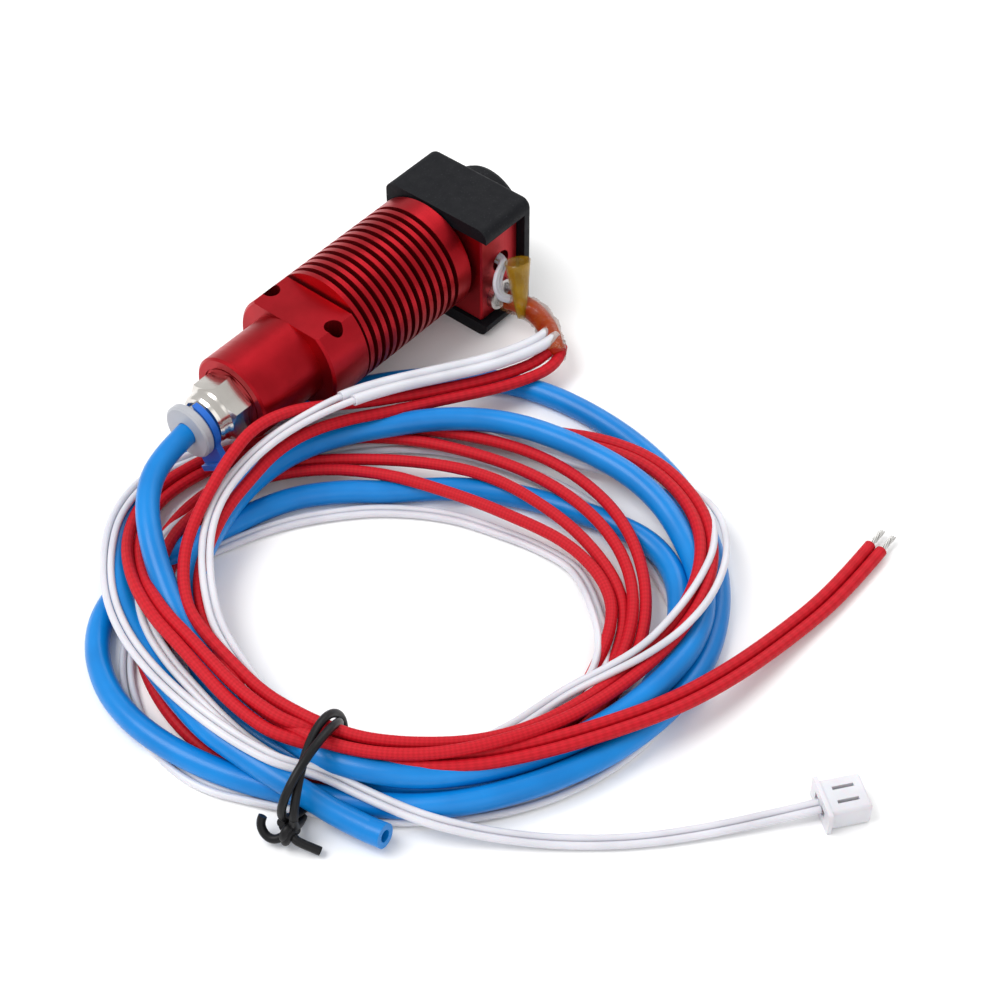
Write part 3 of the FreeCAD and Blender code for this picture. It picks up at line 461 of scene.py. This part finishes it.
def finishes():
    """Every material, by the record's slot, and those of the pieces that have no slot of their own."""
    made = {
        "red_anodised": turned_metal("red anodising", (0.31, 0.005, 0.010), (0.43, 0.009, 0.017),
                                     roughness=0.36, metallic=0.9),
        "stainless": turned_metal("stainless steel", (0.50, 0.49, 0.48), (0.64, 0.63, 0.62),
                                  roughness=0.28),
        "nickel": turned_metal("nickel plate", (0.56, 0.53, 0.49), (0.74, 0.71, 0.67), roughness=0.2,
                               lines=3600, depth=0.00003),
        "brass": turned_metal("brass", (0.66, 0.44, 0.16), (0.80, 0.56, 0.24), roughness=0.3),
        "contact_tin": turned_metal("tin plate", (0.58, 0.57, 0.55), (0.72, 0.71, 0.69),
                                    roughness=0.32),
        "tube_blue": moulded("blue fluoropolymer", (0.001, 0.165, 0.50), (0.002, 0.215, 0.62), roughness=0.3,
                             grain=600, shine=0.3),
        "collet_grey": moulded("grey acetal", (0.36, 0.37, 0.40), (0.44, 0.45, 0.48), roughness=0.36),
        "clip_blue": moulded("blue nylon", (0.003, 0.10, 0.48), (0.005, 0.14, 0.58), roughness=0.36),
        "plug_white": moulded("milky nylon", (0.58, 0.58, 0.62), (0.70, 0.70, 0.74), roughness=0.3,
                              grain=700, through=0.25),
        "tie_black": moulded("black tie", (0.004, 0.004, 0.005), (0.009, 0.009, 0.010), roughness=0.4,
                             grain=1500, depth=0.00003, shine=0.22),
        "wire_white": moulded("white insulation", (0.56, 0.56, 0.61), (0.68, 0.68, 0.73), roughness=0.36,
                              grain=500, through=0.1),
        "seal_black": moulded("nitrile rubber", (0.012, 0.012, 0.012), (0.020, 0.020, 0.020),
                              roughness=0.5),
        "silicone_black": silicone(),
        # the braid's dark and light are painted shade between the yarns and painted light on their crossings
        "braid_red": braid("red braid", (0.43, 0.002, 0.009), (0.52, 0.004, 0.014), HEATER_LENGTH,
                           BRAID_PITCH, BRAID_YARNS),
        "fibre_white": moulded("glass-fibre sleeve", (0.56, 0.56, 0.61), (0.70, 0.70, 0.75), roughness=0.44,
                               grain=2400, depth=0.00004, through=0.1),
        "tape_amber": tape("amber tape", (0.12, 0.03, 0.003), (0.40, 0.13, 0.015), alpha=0.2),
        "sensor_glass": moulded("glass bead", (0.50, 0.34, 0.18), (0.64, 0.46, 0.26), roughness=0.1)}
    made["tape_yellow"] = tape("single layer of tape", (0.28, 0.14, 0.001), (0.52, 0.31, 0.006), alpha=0.4)
    made["sleeve_orange"] = moulded("orange sleeve", (0.16, 0.008, 0.001), (0.62, 0.026, 0.002),
                                    roughness=0.4, grain=700, depth=0.00012, shine=0.3)
    return made


def silicone():
    """Matt black silicone with fine pale dust."""
    s = Shader("black silicone")
    specks = s.noise(5200, 1)
    ramp = s.add("ShaderNodeValToRGB")
    ramp.color_ramp.elements[0].position, ramp.color_ramp.elements[1].position = 0.68, 0.76
    ramp.color_ramp.elements[0].color = (0.005, 0.0055, 0.0075, 1)
    ramp.color_ramp.elements[1].color = (0.05, 0.052, 0.06, 1)
    s.set(Specular_IOR_Level=0.14)
    s.join(specks, ramp.inputs["Fac"])
    s.join(ramp.outputs["Color"], s.base.inputs["Base Color"])
    s.join(s.spread(s.noise(500, 3), 0.52, 0.66), s.base.inputs["Roughness"])
    s.bump(s.noise(1400, 5), 0.00004, 0.4)
    return s.material


def braid(name, dark, light, length, pitch, yarns):
    """Braided fibre: two sets of yarns that cross, on the cord's own length and round its girth."""
    s = Shader(name)
    where = s.add("ShaderNodeTexCoord")
    split = s.add("ShaderNodeSeparateXYZ")
    s.join(where.outputs["UV"], split.inputs["Vector"])
    waves = []
    for way in (1, -1):
        along = s.add("ShaderNodeMath", operation="MULTIPLY")
        along.inputs[1].default_value = round(length / pitch)
        s.join(split.outputs["X"], along.inputs[0])
        around = s.add("ShaderNodeMath", operation="MULTIPLY")
        around.inputs[1].default_value = way * yarns
        s.join(split.outputs["Y"], around.inputs[0])
        both = s.add("ShaderNodeMath", operation="ADD")
        s.join(along.outputs[0], both.inputs[0])
        s.join(around.outputs[0], both.inputs[1])
        turned = s.add("ShaderNodeMath", operation="MULTIPLY")
        turned.inputs[1].default_value = 2 * math.pi
        s.join(both.outputs[0], turned.inputs[0])
        wave = s.add("ShaderNodeMath", operation="SINE")
        s.join(turned.outputs[0], wave.inputs[0])
        waves.append(wave.outputs[0])
    crossing = s.add("ShaderNodeMath", operation="MULTIPLY")
    s.join(waves[0], crossing.inputs[0])
    s.join(waves[1], crossing.inputs[1])
    height = s.add("ShaderNodeMapRange")
    height.inputs["From Min"].default_value, height.inputs["From Max"].default_value = -1, 1
    s.join(crossing.outputs[0], height.inputs["Value"])
    # the colour follows the weave's height: painted shade in the low parts between the yarns, painted light
    # on the raised crossings
    s.colours(height.outputs["Result"], dark, light)
    s.set(Roughness=0.6, Specular_IOR_Level=0.25)
    s.bump(height.outputs["Result"], HEATER_D * MM * 0.04, 0.5)
    s.bump(s.noise(1800, 4), HEATER_D * MM * 0.03, 0.5)
    return s.material


def tape(name, dark, light, alpha):
    """Polyimide film: clear, glossy and creased."""
    s = Shader(name)
    s.colours(s.noise(420, 4), dark, light)
    s.set(Roughness=0.16, Alpha=alpha, Coat_Weight=0.5, Coat_Roughness=0.06)
    s.bump(s.noise(520, 4), 0.00015, 0.5)
    return s.material


# --- mesh helpers --------------------------------------------------------------------------------------
def new_object(name, data):
    piece = bpy.data.objects.new(name, data)
    bpy.context.collection.objects.link(piece)
    return piece


def bare_spline(name, routes):
    """A curve of smooth splines with the routes' points as their control points."""
    data = bpy.data.curves.new(name, "CURVE")
    data.dimensions = "3D"
    for route in routes:
        line = data.splines.new("NURBS")
        line.points.add(len(route) - 1)
        for point, place in zip(line.points, route):
            point.co = (*(Vector(place) * MM), 1)
        line.order_u = 3
        line.use_endpoint_u = True
        line.resolution_u = 6
    return data


def spline(name, routes, diameter):
    """Round strands along smooth splines."""
    data = bare_spline(name, routes)
    data.bevel_depth = diameter / 2 * MM
    data.bevel_resolution = 5
    data.use_fill_caps = True
    return new_object(name, data)


def line_of(data):
    """Points along a curve's first spline, in mm."""
    bare = data.copy()
    bare.bevel_depth = 0
    carrier = bpy.data.objects.new("line", bare)
    mesh = bpy.data.meshes.new_from_object(carrier)
    points = np.array([v.co[:] for v in mesh.vertices]) / MM
    bpy.data.objects.remove(carrier)
    bpy.data.curves.remove(bare)
    bpy.data.meshes.remove(mesh)
    return points


def first_part(points, length):
    """The points up to a length along them."""
    run = np.concatenate([[0], np.cumsum(np.sqrt((np.diff(points, axis=0) ** 2).sum(1)))])
    return points[run <= length]


def frames_along(points):
    """At each point, the way on and two sides of it, without twist."""
    ways = np.gradient(points, axis=0)
    ways /= np.sqrt((ways ** 2).sum(1))[:, None]
    side = np.cross(ways[0], (0.0, 0.0, 1.0))
    frames = []
    for way in ways:
        side = side - way * (side @ way)
        side = side / math.sqrt(side @ side)
        frames.append((way, side, np.cross(way, side)))
    return frames


def ring_round(point, frame, radius, count, ragged=None):
    """Points round a point; ragged moves each on along the way, from its angle."""
    way, side, other = frame
    ring = []
    for k in range(count):
        a = 2 * math.pi * k / count
        r = radius(a) if callable(radius) else radius
        place = point + (side * math.cos(a) + other * math.sin(a)) * r
        ring.append(place + way * (ragged(a) if ragged else 0))
    return ring


def mesh_from_rings(name, rings, joined, closed=True):
    """Surface through rings of points; with joined, the last ring meets the first."""
    count = len(rings[0])
    faces = []
    for k in range(len(rings) if joined else len(rings) - 1):
        low, high = k * count, (k + 1) % len(rings) * count
        for j in range(count if closed else count - 1):
            n = (j + 1) % count
            faces.append((low + j, low + n, high + n, high + j))
    data = bpy.data.meshes.new(name)
    data.from_pydata([tuple(np.array(p) * MM) for ring in rings for p in ring], [], faces)
    shell = bmesh.new()
    shell.from_mesh(data)
    bmesh.ops.recalc_face_normals(shell, faces=shell.faces)
    shell.to_mesh(data)
    shell.free()
    data.shade_smooth()
    data.set_sharp_from_angle(angle=math.radians(50))
    return new_object(name, data)


def hollow_tube(name, points, outer, inner, count=24):
    """A tube with a bore, closed at its ends by rings."""
    frames = frames_along(points)
    outside = [ring_round(p, f, outer, count) for p, f in zip(points, frames)]
    inside = [ring_round(p, f, inner, count) for p, f in zip(points, frames)]
    return mesh_from_rings(name, outside + inside[::-1], True)


def finish_piece(piece, material, body="hotend"):
    piece.data.materials.clear()
    piece.data.materials.append(material)
    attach(piece, body)
    return piece


# --- the tie, the tape and the ends of the wires ------------------------------------------------------
def make_tie():
    """Two thin strands twisted round the bundle, with a knot, a straight tail and a looped one."""
    turn = math.radians(TIE_TURN)

    def placed(u, v, z):
        return (TIE_AT[0] + u * math.cos(turn) - v * math.sin(turn),
                TIE_AT[1] + u * math.sin(turn) + v * math.cos(turn), z)

    strands = []
    for side in (0, math.pi):
        route = []
        for k in range(TIE_STEPS + 1):
            t = math.pi + 2 * math.pi * k / TIE_STEPS
            a = TIE_TWIST * t + side
            r = TIE_STRAND_D * TIE_SPREAD
            u = (TIE_HALF_WIDTH + r * math.cos(a)) * math.cos(t)
            z = TIE_HALF_HEIGHT + TIE_UP + (TIE_HALF_HEIGHT - TIE_FLATTER + r * math.cos(a)) * math.sin(t)
            route.append(placed(u, r * math.sin(a) * TIE_SPREAD_ALONG, max(z, TIE_STRAND_D / 2)))
        strands.append(route)
    out = -TIE_HALF_WIDTH
    for lift in KNOT_LIFTS:
        knot = []
        for k in range(KNOT_STEPS + 3):
            a = 2 * math.pi * k / KNOT_STEPS
            knot.append(placed(out - KNOT_OUT + KNOT_R * math.cos(a),
                               -KNOT_BACK + KNOT_ALONG * k + lift * KNOT_LEAN,
                               KNOT_Z + lift + KNOT_R * math.sin(a)))
        strands.append(knot)
    strands += [[placed(out + u, v, z) for u, v, z in tail] for tail in (STRAIGHT_TAIL, LOOPED_TAIL)]
    tie = spline("twisted_tie", strands, TIE_STRAND_D)
    finish_piece(tie, MATERIALS["tie_black"])
    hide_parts("cable_tie")
    return tie


def crease(along, around):
    """Height of the wrap's wrinkles, in mm, at a place on it."""
    wander = noise.noise(Vector((along * 0.35, 1.3 * math.cos(around), 1.3 * math.sin(around))))
    ridge = 1 - abs(math.sin(along * 1.15 + around * 0.9 + 2.4 * wander))
    return CREASE_WANDER * wander + CREASE_RIDGE * ridge ** 4


def make_wrap():
    """Creased amber film round the wires, over their orange-red sleeve."""
    line = line_of(bare_spline("wrap line", [TAPE_ROUTE]))
    run = np.concatenate([[0], np.cumsum(np.sqrt((np.diff(line, axis=0) ** 2).sum(1)))])
    stations = np.arange(0, run[-1], WRAP_STEP)
    points = np.stack([np.interp(stations, run, line[:, axis]) for axis in range(3)], axis=1)
    frames = frames_along(points)
    outside, inside = [], []
    for s, p, f in zip(stations, points, frames):
        ragged = (lambda a: 0.5 * math.sin(3 * a) + 0.3 * math.sin(5 * a)) if s in stations[-2:] else None
        outside.append(ring_round(p, f, lambda a: WRAP_OUTER + crease(s, a), WRAP_SIDES, ragged))
        inside.append(ring_round(p, f, lambda a: WRAP_INNER + crease(s, a), WRAP_SIDES, ragged))
    film = mesh_from_rings("tape_wrap_film", outside + inside[::-1], True)
    finish_piece(film, MATERIALS["tape_amber"])
    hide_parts("tape_wrap")
    core = []
    for s, p, f in zip(stations, points, frames):
        taper = min(1.0, 0.55 + s * 0.9, 0.05 + (stations[-1] - s) * 1.2)
        core.append(ring_round(p, f, lambda a: (CORE_R + CORE_WAVE * math.cos(3 * a + s * 0.5)) * taper,
                               CORE_SIDES))
    sleeve = mesh_from_rings("wires_under_tape", core, False)
    cap_ends(sleeve)
    finish_piece(sleeve, MATERIALS["sleeve_orange"])


def cap_ends(piece):
    shell = bmesh.new()
    shell.from_mesh(piece.data)
    bmesh.ops.holes_fill(shell, edges=[e for e in shell.edges if e.is_boundary], sides=0)
    bmesh.ops.recalc_face_normals(shell, faces=shell.faces)
    shell.to_mesh(piece.data)
    shell.free()


def make_flag():
    """End of the tape left as an open cone, wound a little over itself."""
    foot = np.array(FLAG_FOOT)
    lean = np.array(FLAG_LEAN) / math.sqrt(sum(c * c for c in FLAG_LEAN))
    line = np.array([foot + lean * d for d in np.linspace(-FLAG_BELOW, FLAG_HEIGHT, FLAG_RINGS)])
    way, side, other = frames_along(line)[0]
    rings = []
    for k, p in enumerate(line):
        share = k / (len(line) - 1)
        ring = []
        for j in range(FLAG_SIDES + 1):
            a = FLAG_START + 2 * math.pi * FLAG_WOUND * j / FLAG_SIDES
            r = FLAG_FOOT_R + (FLAG_RIM_R - FLAG_FOOT_R) * share ** 0.9 - FLAG_INWARD * j / FLAG_SIDES
            r += 0.08 * share * math.sin(2 * a)
            tip = 0.35 * share * math.sin(a + 0.6)
            ring.append(p + (side * math.cos(a) + other * math.sin(a)) * r + way * tip)
        rings.append(ring)
    flag = mesh_from_rings("tape_cone", rings, False, closed=False)
    thick = flag.modifiers.new("film", "SOLIDIFY")
    thick.thickness, thick.offset = FLAG_FILM * MM, 0.0
    finish_piece(flag, MATERIALS["tape_yellow"])
    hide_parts("tape_flag")


def make_legs():
    """Fibre-sleeved legs that loop out of the sensor's hole and down into the tape."""
    x, y, z = SENSOR_HOLE
    strands = [[(x + side + dx, y + dy, z + dz) for dx, dy, dz in route]
               for sides, route in LEG_ROUTES for side in sides]
    legs = spline("sensor_leg_loops", strands, LEG_D)
    finish_piece(legs, MATERIALS["fibre_white"])
    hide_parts("sensor_legs")


def strand_ends(name, line):
    """Tinned strands that spread a little where the wire's braid ends."""
    tip, way = line[-1], line[-1] - line[-2]
    way = way / math.sqrt(way @ way)
    side = np.cross(way, (0.0, 0.0, 1.0))
    side = side / math.sqrt(side @ side)
    other = np.cross(side, way)
    strands = [[tip - way, tip + way, tip + way * BARE_LENGTH]]
    for k in range(BARE_COUNT):
        route = []
        for n in range(BARE_POINTS):
            a = math.radians(360 // BARE_COUNT * k + BARE_TWIST * n)
            r = BARE_R + BARE_SPREAD * n
            on = -1.0 + (BARE_LENGTH - 0.25 * (k % 3) + 1.0) * n / (BARE_POINTS - 1)
            route.append(tip + way * on + (side * math.cos(a) + other * math.sin(a)) * r)
        strands.append(route)
    piece = spline(name, strands, BARE_D)
    return finish_piece(piece, MATERIALS["contact_tin"])


# --- the cords -------------------------------------------------------------------------------------------
MATERIALS = finishes()


def make_cords():
    settled = settle(all_routes())
    tube = spline("bowden_tube", [settled["tube"]], TUBE_D)
    finish_piece(tube, MATERIALS["tube_blue"])
    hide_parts("tube_lead", "tube_free_end", "cord_hank")
    tip = np.array([settled["tube"][-1] * (1 - k) + np.array(TUBE_TIP) * k for k in (-0.02, 0.3, 0.7, 1.0)])
    cut_end = hollow_tube("tube_cut_end", tip, TUBE_D / 2, TUBE_BORE_D / 2, 40)
    finish_piece(cut_end, MATERIALS["tube_blue"])
    make_tie()
    for letter, lead in (("a", HEATER_A_LEAD), ("b", HEATER_B_LEAD)):
        name = "heater_wire_" + letter
        wire = spline(name, [settled[name]], HEATER_D)
        finish_piece(wire, MATERIALS["braid_red"])
        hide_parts(name + "_lead", name + "_end")
        strand_ends("bare_strands_" + letter, line_of(wire.data))
    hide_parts("heater_wire_bare_ends")
    for letter in "ab":
        name = "sensor_wire_" + letter
        wire = spline(name, [settled[name]], SENSOR_D)
        finish_piece(wire, MATERIALS["wire_white"])
        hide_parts(name + "_lead", name + "_end")
        sleeve = hollow_tube("glass_fibre_sleeve_" + letter, first_part(line_of(wire.data), SLEEVE_LENGTH),
                             SLEEVE_D / 2, SENSOR_D / 2 + SLEEVE_PLAY)
        finish_piece(sleeve, MATERIALS["fibre_white"])
        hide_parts("sensor_sleeve_" + letter)


def finish_cad_nodes():
    for row in frame["record"]["subparts"]:
        node = frame["nodes"][row["node"]]
        node.data.materials.clear()
        node.data.materials.append(MATERIALS[row["material_slot"]])


def make_stage():
    """Plain pale floor."""
    mesh = bpy.data.meshes.new("floor")
    h = FLOOR_HALF
    mesh.from_pydata([(-h, -h, 0), (h, -h, 0), (h, h, 0), (-h, h, 0)], [], [(0, 1, 2, 3)])
    floor = new_object("floor", mesh)
    s = Shader("floor")
    s.set(Base_Color=(0.95, 0.95, 0.95, 1), Roughness=1.0, Specular_IOR_Level=0.0)
    mesh.materials.append(s.material)


def make_light():
    world = bpy.data.worlds.new("studio")
    bpy.context.scene.world = world
    world.use_nodes = True
    world.node_tree.nodes["Background"].inputs["Color"].default_value = (1, 1, 1, 1)
    world.node_tree.nodes["Background"].inputs["Strength"].default_value = WORLD_STRENGTH
    for name, place, size, power in LIGHTS:
        data = bpy.data.lights.new(name, "AREA")
        data.size, data.energy = size, power
        lamp = new_object(name, data)
        lamp.location = place
        aim = Vector(LIGHTS_AIM) - lamp.location
        lamp.rotation_mode = "QUATERNION"
        lamp.rotation_quaternion = aim.to_track_quat("-Z", "Y")


def make_camera():
    data = bpy.data.cameras.new("camera")
    data.lens, data.sensor_width = CAMERA_LENS, CAMERA_SENSOR
    data.clip_start, data.clip_end = 0.01, 20
    camera = new_object("camera", data)
    camera.location = CAMERA_AT
    a, e = CAMERA_AZIMUTH, CAMERA_ELEVATION
    back = Vector((math.sin(a) * math.cos(e), -math.cos(a) * math.cos(e), math.sin(e)))
    camera.rotation_mode = "QUATERNION"
    camera.rotation_quaternion = (-back).to_track_quat("-Z", "Y")
    bpy.context.scene.camera = camera


bpy.context.scene.view_settings.view_transform = "Standard"     # the photo's white and its strong colours
make_camera()
make_light()
make_stage()
finish_cad_nodes()
make_cords()
make_wrap()
make_flag()
make_legs()
